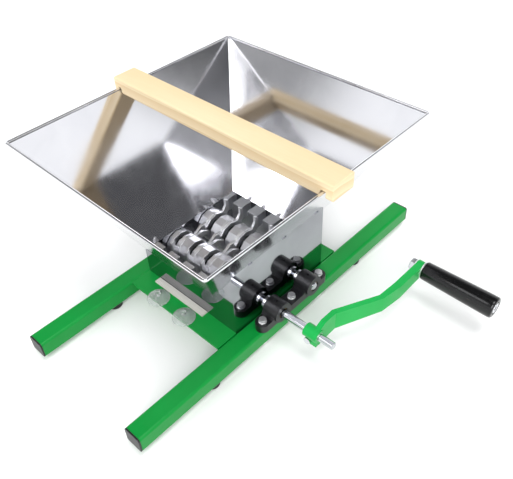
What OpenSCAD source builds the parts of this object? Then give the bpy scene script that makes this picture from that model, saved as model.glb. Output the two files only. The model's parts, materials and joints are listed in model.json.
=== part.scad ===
// Hand-cranked fruit scratter: two toothed rollers under a sheet-metal hopper.
// X runs along the roller shafts towards the crank, Y along the rails, Z is up.
// Heights are written above the underside of the rails and x from midway between them.

/* [Rails] */
// Length of a rail tube without its end caps
rail_len = 565; // [500:1:640]
// Width of a rail tube
rail_w = 28; // [26:1:32]
// Height of a rail tube
rail_h = 26; // [24:1:30]
// Wall of a rail tube
rail_wall = 2; // [1.5:0.25:2.5]
// Outer corner radius of a rail tube
rail_corner = 4; // [3:0.5:5]
// Clear width between the two rails
track = 184.4; // [180:0.2:196]
// Thickness of an end cap's flange
cap_flange = 2.5; // [2:0.5:4]
// Depth of an end cap's plug inside the tube
cap_plug = 14; // [8:1:20]

/* [Cross plates] */
// Thickness of the cross plates
plate_t = 3; // [2:0.5:4]
// Depth of the front cross plate
front_plate_d = 35; // [32:1:42]
// Depth of the rear cross plate
rear_plate_d = 32.5; // [25:0.5:42]
// Height of the lip folded down along the box
plate_lip = 20; // [18:1:22]

/* [Feet] */
// Diameter of a rubber foot
foot_d = 24; // [20:1:26]
// Height of a rubber foot
foot_h = 9; // [8.5:0.5:14]
// Distance of the feet from the middle of the rails
foot_y = 155; // [130:1:230]

/* [Box] */
// Sheet thickness of the box
box_t = 1.5; // [1:0.25:2]
// Height of the throat above the underside of the rails
throat_z = 70.2; // [66:0.2:76]
// Height of the box's lower edge above the underside of the rails
box_low = 4; // [3:0.5:6]
// Inner width of the gear bay between the partition and the right wall
gear_bay = 37.6; // [34:0.2:42]
// Play between the box and the rails on each side
box_play = 0.2; // [0.1:0.1:0.4]

/* [Hopper] */
// Sheet thickness of the hopper
hopper_t = 1.2; // [1:0.1:1.6]
// Height of the hopper from throat to rim
hopper_h = 199; // [170:1:230]
// How far the rim stands out over the throat at the front and the rear
flare_y = 106.8; // [90:0.2:130]
// How far the rim stands out over the throat on the left
flare_left = 99.3; // [85:0.1:120]
// How far the rim stands out over the throat on the right
flare_right = 123; // [110:0.1:140]
// Radius of the rolled rim
rim_r = 1.8; // [1.5:0.1:2.5]

/* [Crossbar] */
// How far the crossbar stands out past the rim on the left
bar_over_left = 7.7; // [6:0.1:12]
// How far the crossbar stands out past the rim on the right
bar_over_right = 12.1; // [8:0.1:14]
// Width of the crossbar
bar_w = 38; // [30:1:45]
// Thickness of the crossbar
bar_t = 22; // [19:0.5:28]
// How far the crossbar reaches down inside the rim
bar_sink = 9; // [6:0.5:12]

/* [Shafts] */
// Diameter of both shafts
shaft_d = 12; // [11:0.5:14]
// Distance between the shaft axes
shaft_gap = 66; // [66:0.25:68]
// Height of the shaft axes above the rails
shaft_rise = 17.2; // [16.5:0.1:19]
// Width across the flats of the hexagon that drives the rollers
hex_af = 17; // [16:0.5:19]
// Length of the crank shaft outside the bearing block
shaft_out = 86.6; // [80:0.2:95]

/* [Rollers] */
// Outer radius of the roller rings
ring_r = 25.5; // [23:0.25:27]
// Radius of the spacers in the grooves
spacer_r = 17.5; // [15:0.25:18]
// Distance from one blade to the next
blade_pitch = 32; // [31:0.25:33]
// Width of the grooves between the rings
groove_w = 8.6; // [7:0.1:10]
// Thickness of a blade
blade_t = 4.5; // [3:0.25:5]
// Radius to the tips of the hooks
tip_r = 45.5; // [43:0.25:46.5]
// Width of a hook at its root
hook_root_w = 15; // [10:0.5:18]
// Width of a hook at its tip
hook_tip_w = 8; // [5:0.5:10]
// Distance from the left wall to the first rear blade
first_blade = 14.3; // [13:0.1:15]
// How far the front blades stand to the right of the rear ones
blade_offset = 10; // [9:0.25:11]

/* [Gears] */
// Face width of the gears
gear_w = 15; // [10:0.5:18]
// Radius of a gear's hub
gear_hub_r = 11; // [10:0.5:14]
// Length of a gear's hub
gear_hub_l = 9; // [8:0.5:11]
// Diameter of the cross pin in a gear's hub
gear_pin_d = 4; // [3:0.5:4.5]

/* [Bearing blocks] */
// Distance of a block from its rail's inner edge
block_inset = 9.8; // [9:0.2:11]
// Radius of a bearing boss
boss_r = 15.5; // [14:0.25:16.5]
// Length of a bearing boss along the shaft
boss_l = 25; // [22:0.5:28]
// Height of a block's flange
flange_h = 12.4; // [10:0.2:14]
// Width of a block's flange across the rail
flange_w = 21; // [18:0.5:24]
// Distance of the outer block bolts from the middle one
block_bolt_y = 60; // [58:0.5:64]
// Radius of the bearing bushes
bush_r = 8; // [7.5:0.25:9]
// Radius of a shaft collar
collar_r = 10.7; // [9.5:0.1:12]
// Width of a shaft collar
collar_w = 6; // [4:0.5:7]

/* [Crank] */
// Distance from the shaft to the grip's axis
crank_r = 195.6; // [180:0.2:215]
// Height of the arm's bar beside the hub
arm_root_h = 32; // [26:0.5:34]
// Height of the arm's bar at the eye
arm_h = 20.5; // [16:0.5:24]
// Thickness of the arm's bar
arm_t = 8; // [6:0.5:9]
// Outward step of the arm between hub and grip
arm_step = 31; // [24:0.5:36]
// Radius of the crank hub
hub_r = 9.75; // [9:0.25:12]
// Length of the crank hub
hub_l = 22; // [20:0.5:28]
// Length of the grip
grip_l = 110; // [90:1:130]
// Radius of the grip beside the arm
grip_r1 = 13.7; // [12:0.1:15]
// Radius of the grip near its end
grip_r2 = 15.8; // [14:0.1:18]

/* [Combs] */
// Width of the gaps that the blades pass through
comb_gap = 13; // [11:0.5:15]
// Gap between the combs' backs and the hooks' tips
tip_gap = 5.9; // [4:0.1:8]
// Gap between the comb teeth and the rollers' rings
ring_gap = 10.4; // [9:0.1:14]
// Height of the comb teeth
tooth_h = 24; // [16:0.5:30]
// Thickness of the comb's back
comb_back = 6; // [4:0.5:8]

/* [Clear pieces] */
// Radius of a clear suction cup
cup_r = 17; // [15:0.25:17.5]
// Height of a suction cup without its knob
cup_h = 8; // [6:0.5:10]
// Length of the clear ribbed strip
strip_len = 102; // [80:1:120]
// Width of the clear ribbed strip
strip_w = 10.5; // [9:0.25:11]

/* [Hidden] */

// Fineness of round shapes
$fn = 64;
// Overrun of every cut
over = 1;
// Play of a fixed fit between a bore and what sits in it
fit_play = 0.02;
// Play of a shaft that turns in its bush
run_play = 0.06;
// Gap between pieces that move past each other
move_gap = 0.5;
// Play round a screw in its hole
hole_play = 0.2;
// Gap at the ends of the rollers
end_gap = 1;
// Gap above the rim under the crossbar
seat_gap = 0.3;

// Colours as the photograph shows them
green = "#149a41";
steel = "#b9bcc2";
bright = "#e4e6ea";
black = "#1b1b1d";
wood = "#ecd3a4";
clear = "#d9e2e0";
grey = "#a9abac";

// Places that follow from the sizes
half_track = track / 2;
rail_mid = half_track + rail_w / 2;
box_x = half_track - box_play;
shaft_y = shaft_gap / 2;
comb_back_y = shaft_y + tip_r + tip_gap;
box_in_x = box_x - box_t;
box_in_y = comb_back_y + comb_back;
box_y = box_in_y + box_t;
box_len = 2 * box_y;
partition_x = box_in_x - gear_bay - box_t;
throat_x = partition_x + box_t;
shaft_z = rail_h + shaft_rise;
rim_z = throat_z + hopper_h;
rim_left = box_x + flare_left;
rim_right = throat_x + flare_right;
rim_y = box_y + flare_y;
right_top_z = throat_z + (box_x - throat_x) * hopper_h / flare_right;
end_wall_top = throat_z + (box_in_x - throat_x) * hopper_h / flare_right;
corner_cut = 20;

// Bearing blocks, collars and the shafts' ends
boss_in = half_track + block_inset;
boss_out = boss_in + boss_l;
block_mid = boss_in + flange_w / 2;
flange_z = rail_h + flange_h;
collar_out = boss_in - move_gap;
collar_in = collar_out - collar_w;
crank_end = boss_out + shaft_out;
stub_l = 0.8;
end_relief = 0.5;
shaft_chamfer = 1;
shaft_clear = 1;
oil_d = 3;
bush_set = 2;
shoulder_foot_share = 1.2;
shoulder_top_share = 0.84;
shoulder_rise = 5;
shoulder_bite = 2;
collar_screw_d = 4;
collar_bite = 0.5;
// Direction of the collars' set screws on the rear shaft, from +Y towards +Z
rear_screw_angle = 195;
front_screw_angle = 180 - rear_screw_angle;

// Rollers, counted from the left wall
blades = 4;
hooks = 3;
hook_start = 28;
hook_lead = 25;
mid_lead_share = 0.4;
hook_bite_share = 0.92;
ring_sides = 12;
roller_x0 = end_gap - box_in_x;
roller_x1 = partition_x - end_gap;
function blade_x(i, offset) = first_blade - box_in_x + offset + i * blade_pitch;

// Gear pair: equal gears in the bay behind the partition
teeth = 22;
pressure_angle = 20;
gear_stand = 10;
gear_x0 = throat_x + gear_stand;
gear_x1 = gear_x0 + gear_w;
pitch_r = shaft_gap / 2;
gear_module = shaft_gap / teeth;
gear_tip_r = pitch_r + gear_module;
root_r = pitch_r - 1.25 * gear_module;
base_r = pitch_r * cos(pressure_angle);
flank_r0 = max(base_r, root_r);
flank_steps = 5;
tooth_bite_share = 0.97;
backlash = 0.5;

// Combs and the screws that hold them, the walls and the plates together
comb_play = 0.2;
comb_x0 = comb_play - box_in_x;
comb_x1 = partition_x - comb_play;
comb_top = throat_z - comb_play;
comb_low = 8;
comb_screw_in = 25;
comb_screw_z = 15;
comb_screw_places = [comb_x0 + comb_screw_in, comb_x1 - comb_screw_in];
box_screw_in = 14.4;
box_screw_y = box_y - box_screw_in;
box_screw_z = 13;
block_bolt_places = [-block_bolt_y, 0, block_bolt_y];
screw_tail = 2;

// Open notches along the right wall's seam, as shares of the box's half length
seam_notch_shares = [-0.62, 0.1, 0.84];
seam_notch_l = 8;
seam_notch_h = 2.4;
seam_notch_places = [for (share = seam_notch_shares) share * box_y - seam_notch_l / 2];

// Feet
foot_taper = 1;
foot_recess_r = 6;
foot_recess = 4;

// Bolts: thread diameter, width across flats, head, washer and nut
m6_d = 6;
m6_af = 10;
m6_head = 4;
m6_nut = 5;
m6_washer_r = 6;
m6_washer_t = 1.2;
m6_tail = 1.3;
m10_d = 10;
m10_af = 16.5;
m10_nut = 7;
m10_washer_t = 2;
screw_d = 5;
screw_head_r = 4.5;
screw_head_h = 2.6;
screw_socket_af = 3;

// Crank: hub, arm and grip along x, with the arm pointing along +Y at rest
hub_tail = 23.6;
hub_out = crank_end - hub_tail;
hub_in = hub_out - hub_l;
arm_set = 5.5;
arm_x1 = hub_out - arm_set;
arm_x2 = arm_x1 + arm_step;
bend_share_1 = 0.185;
bend_share_2 = 0.52;
bend_y1 = crank_r * bend_share_1 - shaft_y;
bend_y2 = crank_r * bend_share_2 - shaft_y;
grip_y = crank_r - shaft_y;
eye_swell = 0.6;
eye_r = arm_h / 2 + eye_swell;
eye_back = 2;
eye_front = 9;
eye_flare_share = 5.5;
root_reach = 14;
root_share = 0.92;
eye_in = arm_x2 - eye_back;
eye_out = arm_x2 + eye_front;
washer_out = eye_out + m10_washer_t;
grip_in = washer_out + move_gap;
grip_out = grip_in + grip_l;
grip_washer_r = 13;
grip_round = 3;
shoulder_d = 12;
grip_socket_h = 8;
grip_socket_r = 9.5;
grip_socket_af = 6;
grip_head_r = 8;
grip_head_h = grip_socket_h - move_gap;

// Clamp lug below the hub
lug_w = 10;
lug_drop = 19;
lug_l = 18;
lug_slit = 1.6;
clamp_drop = 12.5;
clamp_in = 7;
clamp_face_r = 6;

// Clear strip and suction cups on the front plate
strip_ribs = 5;
strip_base = 1.6;
strip_gap = 0.4;
strip_mid_share = -0.163;
strip_mid = half_track * strip_mid_share;
cup_t = 1.4;
cup_edge = 0.8;
cup_curve_r = (pow(cup_r, 2) + pow(cup_h - cup_edge, 2)) / 2 / (cup_h - cup_edge);
cup_knob_r = 4.5;
cup_knob_h = 5;
knob_neck_share = 0.6;
cup_place_shares = [-0.41, 0.185];
cup_places = [for (share = cup_place_shares) share * half_track];

// Crossbar, and the middle of the whole part, under which its origin lies
notch_play = 1.5;
bar_edge_r = 2.5;
low_x = -rim_left - bar_over_left;
bar_len = rim_right + bar_over_right - low_x;
origin_x = (low_x + grip_out) / 2;

// Everything is drawn in the rails' own frame and set down here
module in_frame() {
    translate([-origin_x, 0, foot_h]) children();
}

// Turns local x, y, z into y, z, x
module along_x() {
    rotate([90, 0, 90]) children();
}

module both_sides() {
    children();
    mirror([1, 0, 0]) children();
}

module both_ends() {
    children();
    mirror([0, 1, 0]) children();
}

module box_at(low, high) {
    translate(low) cube(high - low);
}

// Upright rod and upright hexagon, both from z = 0
module rod(d, h) {
    cylinder(d = d, h = h);
}

module hexagon(af, h) {
    cylinder(r = af / 2 / cos(30), h = h, $fn = 6);
}

module hex_nut(d, af, h) {
    difference() {
        hexagon(af, h);
        translate([0, 0, -over]) rod(d + 2 * fit_play, h + 2 * over);
    }
}

// Socket screw: its head stands above z = 0 and its shank below
module socket_screw(shank) {
    difference() {
        union() {
            rod(2 * screw_head_r, screw_head_h);
            translate([0, 0, -shank]) rod(screw_d, shank + screw_head_h / 2);
        }
        translate([0, 0, screw_head_h / 2]) hexagon(screw_socket_af, screw_head_h);
    }
}

module rounded_rect(w, h, r) {
    square([w, h - 2 * r], center = true);
    square([w - 2 * r, h], center = true);
    for (sx = [-1, 1], sy = [-1, 1]) translate([sx * (w / 2 - r), sy * (h / 2 - r)]) circle(r);
}

// Rail: a rectangular tube on its side walls, drilled for what is fixed to it
module rail_outline(inset) {
    rounded_rect(rail_w - 2 * inset, rail_h - 2 * inset, rail_corner - inset);
}

module along_rail(length) {
    rotate([90, 0, 0]) linear_extrude(length, center = true) children();
}

module rail() {
    difference() {
        translate([rail_mid, 0, rail_h / 2]) along_rail(rail_len) difference() {
            rail_outline(0);
            rail_outline(rail_wall);
        }
        for (y = block_bolt_places) translate([block_mid, y, -over])
            rod(m6_d + 2 * hole_play, rail_h + 2 * over);
        for (y = [-foot_y, foot_y]) translate([rail_mid, y, -over])
            rod(screw_d + 2 * hole_play, rail_wall + 2 * over);
        for (y = [-box_screw_y, box_screw_y]) translate([half_track - over, y, box_screw_z])
            along_x() rod(screw_d + 2 * hole_play, rail_wall + 2 * over);
    }
}

module left_rail() {
    color(green) in_frame() mirror([1, 0, 0]) rail();
}

module right_rail() {
    color(green) in_frame() rail();
}

// End cap: a moulded flange over the tube's end with a plug inside
module end_cap() {
    translate([rail_mid, (rail_len + cap_flange) / 2, rail_h / 2]) along_rail(cap_flange)
        rail_outline(0);
    translate([rail_mid, (rail_len - cap_plug) / 2, rail_h / 2]) along_rail(cap_plug)
        rail_outline(rail_wall + fit_play);
}

module rail_end_caps() {
    color(black) in_frame() both_sides() both_ends() end_cap();
}

// Foot: a rubber buffer with a recess below for its screw
module rubber_feet() {
    color(black) in_frame() both_sides() both_ends() translate([rail_mid, foot_y, -foot_h])
        difference() {
            cylinder(d1 = foot_d - 2 * foot_taper, d2 = foot_d, h = foot_h);
            translate([0, 0, -over]) rod(screw_d + 2 * hole_play, foot_h + 2 * over);
            translate([0, 0, -over]) rod(2 * foot_recess_r, foot_recess + over);
        }
}

module foot_screws() {
    shank = foot_h - foot_recess + rail_wall + screw_tail;
    color(bright) in_frame() both_sides() both_ends()
        translate([rail_mid, foot_y, foot_recess - foot_h]) mirror([0, 0, 1]) socket_screw(shank);
}

// Cross plate: flush with the rails' tops, with a lip folded down along the box
module cross_plate(depth) {
    difference() {
        union() {
            box_at([-half_track, box_y, rail_h - plate_t], [half_track, box_y + depth, rail_h]);
            box_at([-half_track, box_y, rail_h - plate_lip], [half_track, box_y + plate_t, rail_h]);
        }
        comb_screw_holes(box_y - over, plate_t + 2 * over);
    }
}

module front_cross_plate() {
    color(green) in_frame() mirror([0, 1, 0]) cross_plate(front_plate_d);
}

module rear_cross_plate() {
    color(green) in_frame() cross_plate(rear_plate_d);
}

// Rods along Y at the comb screws, from the plane y = from over a length
module comb_screw_holes(from, length) {
    for (x = comb_screw_places) translate([x, from + length, comb_screw_z])
        rotate([90, 0, 0]) rod(screw_d + 2 * hole_play, length);
}

// Rods along X at the shafts
module shaft_holes(from, length, d) {
    for (y = [-shaft_y, shaft_y]) translate([from, y, shaft_z]) along_x() rod(d, length);
}

// End wall of the box: level over the throat, then rising under the hopper's right panel
module end_wall() {
    difference() {
        translate([0, box_y, 0]) rotate([90, 0, 0]) linear_extrude(box_t) polygon([
            [-box_in_x, box_low], [box_in_x, box_low], [box_in_x, end_wall_top],
            [throat_x, throat_z], [-box_in_x, throat_z]]);
        comb_screw_holes(box_in_y - over, box_t + 2 * over);
    }
}

module box_front_wall() {
    color(steel) in_frame() mirror([0, 1, 0]) end_wall();
}

module box_rear_wall() {
    color(steel) in_frame() end_wall();
}

// Side wall of the box, drilled for the shafts and for its screws into the rail
module side_wall(top_in, top_out) {
    difference() {
        translate([0, box_y, 0]) rotate([90, 0, 0]) linear_extrude(box_len) polygon([
            [box_in_x, box_low], [box_x, box_low], [box_x, top_out], [box_in_x, top_in]]);
        shaft_holes(box_in_x - over, box_t + 2 * over, shaft_d + 2 * shaft_clear);
        for (y = [-box_screw_y, box_screw_y]) translate([box_in_x - over, y, box_screw_z])
            along_x() rod(screw_d + 2 * hole_play, box_t + 2 * over);
    }
}

module box_left_wall() {
    color(steel) in_frame() mirror([1, 0, 0]) side_wall(throat_z, throat_z);
}

// The tall right wall has three notches in its top edge, where its seam is open
module box_right_wall() {
    color(steel) in_frame() difference() {
        side_wall(end_wall_top, right_top_z);
        for (y = seam_notch_places) translate([box_in_x - over, y, right_top_z - seam_notch_h])
            cube([box_t + 2 * over, seam_notch_l, seam_notch_h + over]);
    }
}

// Partition between the rollers and the gear bay
module throat_partition() {
    color(steel) in_frame() difference() {
        box_at([partition_x, -box_in_y, box_low], [throat_x, box_in_y, throat_z]);
        shaft_holes(partition_x - over, box_t + 2 * over, shaft_d + 2 * shaft_clear);
    }
}

module box_screws() {
    color(bright) in_frame() both_sides() for (y = [-box_screw_y, box_screw_y])
        translate([box_in_x, y, box_screw_z]) rotate([0, -90, 0])
            socket_screw(box_t + box_play + rail_wall + screw_tail);
}

// Puts a sheet's own plane on the hopper's front: local y runs up the slope from the throat
// edge and local z points outwards
module on_slope(low_out, run) {
    translate([0, -low_out, throat_z]) rotate([180 - atan2(hopper_h, run), 0, 0]) children();
}

// Hopper panel: a flat sheet that rises outwards from a throat edge to just below the rim.
// Its outer face starts at y = -low_out and its ends run from low_ends to high_ends.
module slope_sheet(low_out, low_ends, high_out, high_ends) {
    run = high_out - low_out;
    slant = norm([run, hopper_h]);
    side_a = (high_ends[0] - low_ends[0]) / slant;
    side_b = (high_ends[1] - low_ends[1]) / slant;
    difference() {
        on_slope(low_out, run) translate([0, 0, -hopper_t]) linear_extrude(hopper_t) polygon([
            [low_ends[0] - side_a * hopper_t, -hopper_t], [low_ends[1] - side_b * hopper_t, -hopper_t],
            [high_ends[1], slant], [high_ends[0], slant]]);
        box_at([-2 * rim_left, -2 * rim_y, 0], [2 * rim_left, 0, throat_z]);
        box_at([-2 * rim_left, -2 * rim_y, rim_z - 2 * rim_r], [2 * rim_left, 0, rim_z + over]);
    }
}

module front_sheet() {
    slope_sheet(box_y, [-box_x, throat_x], rim_y, [-rim_left, rim_right]);
}

// Everything outside the front sheet's inner face, where the side panels end
module outside_front_sheet() {
    on_slope(box_y, flare_y) box_at([-2 * rim_left, -corner_cut, -hopper_t - fit_play],
        [2 * rim_left, 2 * hopper_h, corner_cut]);
}

module hopper_front_panel() {
    color(steel) in_frame() front_sheet();
}

module hopper_rear_panel() {
    color(steel) in_frame() mirror([0, 1, 0]) front_sheet();
}

module hopper_left_panel() {
    color(steel) in_frame() difference() {
        rotate([0, 0, -90]) slope_sheet(box_x, [-box_y, box_y], rim_left, [-rim_y, rim_y]);
        both_ends() outside_front_sheet();
    }
}

module hopper_right_panel() {
    color(steel) in_frame() difference() {
        rotate([0, 0, 90]) slope_sheet(throat_x, [-box_y, box_y], rim_right, [-rim_y, rim_y]);
        both_ends() outside_front_sheet();
    }
}

// Rolled rim: a wire frame round the panels' top edges
module hopper_rim() {
    x0 = rim_r - rim_left;
    x1 = rim_right - rim_r;
    y1 = rim_y - rim_r;
    color(bright) in_frame() translate([0, 0, rim_z - rim_r]) {
        for (y = [-y1, y1]) translate([x0, y, 0]) along_x() cylinder(r = rim_r, h = x1 - x0);
        for (x = [x0, x1]) translate([x, y1, 0]) rotate([90, 0, 0]) cylinder(r = rim_r, h = 2 * y1);
        for (x = [x0, x1], y = [-y1, y1]) translate([x, y, 0]) sphere(rim_r);
    }
}

// Comb: a back bar on the end wall with teeth between the blades' paths, slotted through to the wall
module comb(offset) {
    front = shaft_y + ring_r + ring_gap;
    difference() {
        union() {
            box_at([comb_x0, comb_back_y, comb_low], [comb_x1, box_in_y, comb_top]);
            box_at([comb_x0, front, comb_top - tooth_h], [comb_x1, box_in_y, comb_top]);
        }
        for (i = [0 : blades - 1])
            translate([blade_x(i, offset) - comb_gap / 2, front - over, comb_top - tooth_h - over])
                cube([comb_gap, box_in_y - front + 2 * over, tooth_h + 2 * over]);
        comb_screw_holes(comb_back_y - over, comb_back + 2 * over);
    }
}

module front_comb() {
    color(grey) in_frame() mirror([0, 1, 0]) comb(blade_offset);
}

module rear_comb() {
    color(grey) in_frame() comb(0);
}

module comb_screws() {
    color(bright) in_frame() both_ends() for (x = comb_screw_places)
        translate([x, comb_back_y, comb_screw_z]) rotate([90, 0, 0])
            socket_screw(comb_back + box_t + plate_t + screw_tail);
}

// Bearing block: one casting with two bosses on a flange that three bolts hold to the rail
module bearing_block() {
    foot_half = boss_r * shoulder_foot_share;
    top_half = boss_r * shoulder_top_share;
    difference() {
        union() {
            translate([block_mid, 0, rail_h]) linear_extrude(flange_h) {
                square([flange_w, 2 * block_bolt_y], center = true);
                for (y = [-block_bolt_y, block_bolt_y]) translate([0, y]) circle(d = flange_w);
            }
            shaft_holes(boss_in, boss_l, 2 * boss_r);
            translate([boss_in, 0, 0]) along_x() linear_extrude(flange_w) for (y = [-shaft_y, shaft_y])
                polygon([[y - foot_half, flange_z - shoulder_bite], [y - foot_half, flange_z],
                    [y - top_half, shaft_z + shoulder_rise], [y + top_half, shaft_z + shoulder_rise],
                    [y + foot_half, flange_z], [y + foot_half, flange_z - shoulder_bite]]);
        }
        shaft_holes(boss_in - over, boss_l + 2 * over, 2 * (bush_r + fit_play));
        oil_holes(boss_r + over);
        for (y = block_bolt_places) translate([block_mid, y, rail_h - over])
            rod(m6_d + 2 * hole_play, flange_h + 2 * over);
    }
}

// Oil holes from the shaft axes upwards
module oil_holes(length) {
    for (y = [-shaft_y, shaft_y]) translate([boss_in + boss_l / 2, y, shaft_z]) rod(oil_d, length);
}

module left_bearing_block() {
    color(black) in_frame() mirror([1, 0, 0]) bearing_block();
}

module right_bearing_block() {
    color(black) in_frame() bearing_block();
}

module bearing_bushes() {
    color("#b08d4f") in_frame() both_sides() difference() {
        shaft_holes(boss_in + bush_set, boss_l - 2 * bush_set, 2 * bush_r);
        shaft_holes(boss_in - over, boss_l + 2 * over, shaft_d + 2 * run_play);
        oil_holes(boss_r);
    }
}

module block_bolts() {
    seat = flange_z + m6_washer_t;
    color(bright) in_frame() both_sides() for (y = block_bolt_places) translate([block_mid, y, 0]) {
        translate([0, 0, seat]) hexagon(m6_af, m6_head);
        translate([0, 0, -m6_nut - m6_tail]) rod(m6_d, seat + m6_nut + m6_tail + m6_head / 2);
    }
}

module block_washers() {
    color(bright) in_frame() both_sides() for (y = block_bolt_places)
        translate([block_mid, y, flange_z]) difference() {
            cylinder(r = m6_washer_r, h = m6_washer_t);
            translate([0, 0, -over]) rod(m6_d + 2 * hole_play, m6_washer_t + 2 * over);
        }
}

module block_nuts() {
    color(bright) in_frame() both_sides() for (y = block_bolt_places)
        translate([block_mid, y, -m6_nut]) hex_nut(m6_d, m6_af, m6_nut);
}

// Shaft: round ends in the bushes, a hexagon that drives the roller, and a right end that is
// turned slightly thinner from step_x on
module shaft(step_x, right_end, screw_angle) {
    end_d = shaft_d - 2 * end_relief;
    difference() {
        translate([0, 0, shaft_z]) union() {
            translate([-boss_out, 0, 0]) along_x() rod(shaft_d, boss_out + step_x);
            translate([step_x, 0, 0]) along_x() rod(end_d, right_end - shaft_chamfer - step_x);
            translate([right_end - shaft_chamfer, 0, 0]) along_x()
                cylinder(d1 = end_d, d2 = end_d - 2 * shaft_chamfer, h = shaft_chamfer);
            translate([roller_x0, 0, 0]) along_x() hexagon(hex_af, roller_x1 - roller_x0);
        }
        gear_pin_at(gear_hub_r + over, gear_pin_d / 2 + fit_play);
        both_sides() collar_screw_at(shaft_d / 2 - collar_bite, collar_r, collar_screw_d / 2 + fit_play,
            screw_angle);
    }
}

// Cross pin in a gear's hub, standing across a shaft on y = 0
module gear_pin_at(half, r) {
    translate([gear_x1 + gear_hub_l / 2, 0, shaft_z - half]) cylinder(r = r, h = 2 * half);
}

// Set screw of a collar, from one radius to another
module collar_screw_at(low, high, r, angle) {
    translate([(collar_in + collar_out) / 2, 0, shaft_z]) rotate([angle, 0, 0])
        rotate([-90, 0, 0]) translate([0, 0, low]) cylinder(r = r, h = high - low);
}

// Rings of a roller: a faceted drum cut through at its own blades and at the other's
module rings(own, other) {
    translate([0, 0, shaft_z]) difference() {
        translate([roller_x0, 0, 0]) along_x()
            cylinder(r = ring_r, h = roller_x1 - roller_x0, $fn = ring_sides);
        for (i = [0 : blades - 1]) {
            ring_cut(blade_x(i, own), blade_t);
            ring_cut(blade_x(i, other), groove_w);
        }
        translate([roller_x0 - over, 0, 0]) along_x()
            hexagon(hex_af + 2 * fit_play, roller_x1 - roller_x0 + 2 * over);
    }
}

module ring_cut(x, width) {
    translate([x - width / 2, 0, 0]) along_x() cylinder(r = ring_r + over, h = width);
}

module spacers(other) {
    translate([0, 0, shaft_z]) for (i = [0 : blades - 1])
        translate([blade_x(i, other) - groove_w / 2, 0, 0]) along_x() difference() {
            cylinder(r = spacer_r, h = groove_w);
            translate([0, 0, -over]) hexagon(hex_af + 2 * fit_play, groove_w + 2 * over);
        }
}

function polar(r, a) = [r * cos(a), r * sin(a)];

// Hook: leans forward from its root and ends in a flat tip
module hook_2d() {
    root = asin(hook_root_w / 2 / ring_r);
    mid_r = (ring_r + tip_r) / 2;
    mid = asin((hook_root_w + hook_tip_w) / 4 / mid_r);
    tip = asin(hook_tip_w / 2 / tip_r);
    mid_lead = hook_lead * mid_lead_share;
    polygon([polar(ring_r * hook_bite_share, -root), polar(ring_r * hook_bite_share, root),
        polar(mid_r, mid_lead + mid), polar(tip_r, hook_lead + tip),
        polar(tip_r, hook_lead - tip), polar(mid_r, mid_lead - mid)]);
}

module blade_2d() {
    difference() {
        union() {
            circle(ring_r);
            for (k = [0 : hooks - 1]) rotate(hook_start + k * 360 / hooks) hook_2d();
        }
        circle((hex_af + 2 * fit_play) / 2 / cos(30), $fn = 6);
    }
}

module blade_set(offset) {
    translate([0, 0, shaft_z]) for (i = [0 : blades - 1])
        translate([blade_x(i, offset) - blade_t / 2, 0, 0]) along_x() linear_extrude(blade_t) blade_2d();
}

// Involute tooth: half angle at a radius, counted from the tooth's middle
function roll(r) = r <= base_r ? 0 : sqrt(pow(r / base_r, 2) - 1) * 180 / PI - acos(base_r / r);
function half_tooth(r) = 90 / teeth - backlash / pitch_r * 90 / PI + roll(pitch_r) - roll(r);
function flank(side) = [for (i = [0 : flank_steps])
    let (r = flank_r0 + (gear_tip_r - flank_r0) * i / flank_steps) polar(r, side * half_tooth(r))];

module gear_2d() {
    circle(root_r);
    for (k = [0 : teeth - 1]) rotate(k * 360 / teeth) polygon(concat(
        [polar(root_r * tooth_bite_share, -half_tooth(flank_r0))], flank(-1),
        [for (i = [flank_steps : -1 : 0]) flank(1)[i]],
        [polar(root_r * tooth_bite_share, half_tooth(flank_r0))]));
}

// Gear on a shaft at y = 0, turned so that its teeth meet the other gear's
module gear(turn) {
    difference() {
        translate([gear_x0, 0, shaft_z]) along_x() {
            linear_extrude(gear_w) rotate(turn) gear_2d();
            translate([0, 0, gear_w - over]) cylinder(r = gear_hub_r, h = gear_hub_l + over);
        }
        translate([gear_x0 - over, 0, shaft_z]) along_x()
            rod(shaft_d + 2 * fit_play, gear_w + gear_hub_l + 2 * over);
        gear_pin_at(gear_hub_r + over, gear_pin_d / 2 + fit_play);
    }
}

module collars(angle) {
    both_sides() difference() {
        translate([collar_in, 0, shaft_z]) along_x() difference() {
            cylinder(r = collar_r, h = collar_w);
            translate([0, 0, -over]) rod(shaft_d + 2 * fit_play, collar_w + 2 * over);
        }
        collar_screw_at(shaft_d / 2 - over, collar_r + over, collar_screw_d / 2 + fit_play, angle);
    }
}

module collar_screws(angle) {
    both_sides() collar_screw_at(shaft_d / 2 - collar_bite, collar_r - collar_bite, collar_screw_d / 2, angle);
}

// Both rollers are built on y = 0; the front one is the mirror image of the rear one
module at_front() {
    in_frame() translate([0, -shaft_y, 0]) mirror([0, 1, 0]) children();
}

module at_rear() {
    in_frame() translate([0, shaft_y, 0]) children();
}

module drive_shaft() {
    color(bright) at_front() shaft(hub_out, crank_end, front_screw_angle);
}

module drive_rings() {
    color(steel) at_front() rings(blade_offset, 0);
}

module drive_spacers() {
    color(grey) at_front() spacers(0);
}

module drive_blades() {
    color(bright) at_front() blade_set(blade_offset);
}

module drive_gear() {
    color(grey) at_front() gear(0);
}

module drive_gear_pin() {
    color(bright) at_front() gear_pin_at(gear_hub_r, gear_pin_d / 2);
}

module drive_collars() {
    color(bright) at_front() collars(front_screw_angle);
}

module drive_collar_screws() {
    color(black) at_front() collar_screws(front_screw_angle);
}

module driven_shaft() {
    color(bright) at_rear() shaft(boss_out - shaft_chamfer, boss_out + stub_l, rear_screw_angle);
}

module driven_rings() {
    color(steel) at_rear() rings(0, blade_offset);
}

module driven_spacers() {
    color(grey) at_rear() spacers(blade_offset);
}

module driven_blades() {
    color(bright) at_rear() blade_set(0);
}

module driven_gear() {
    color(grey) at_rear() gear(180 / teeth);
}

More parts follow.
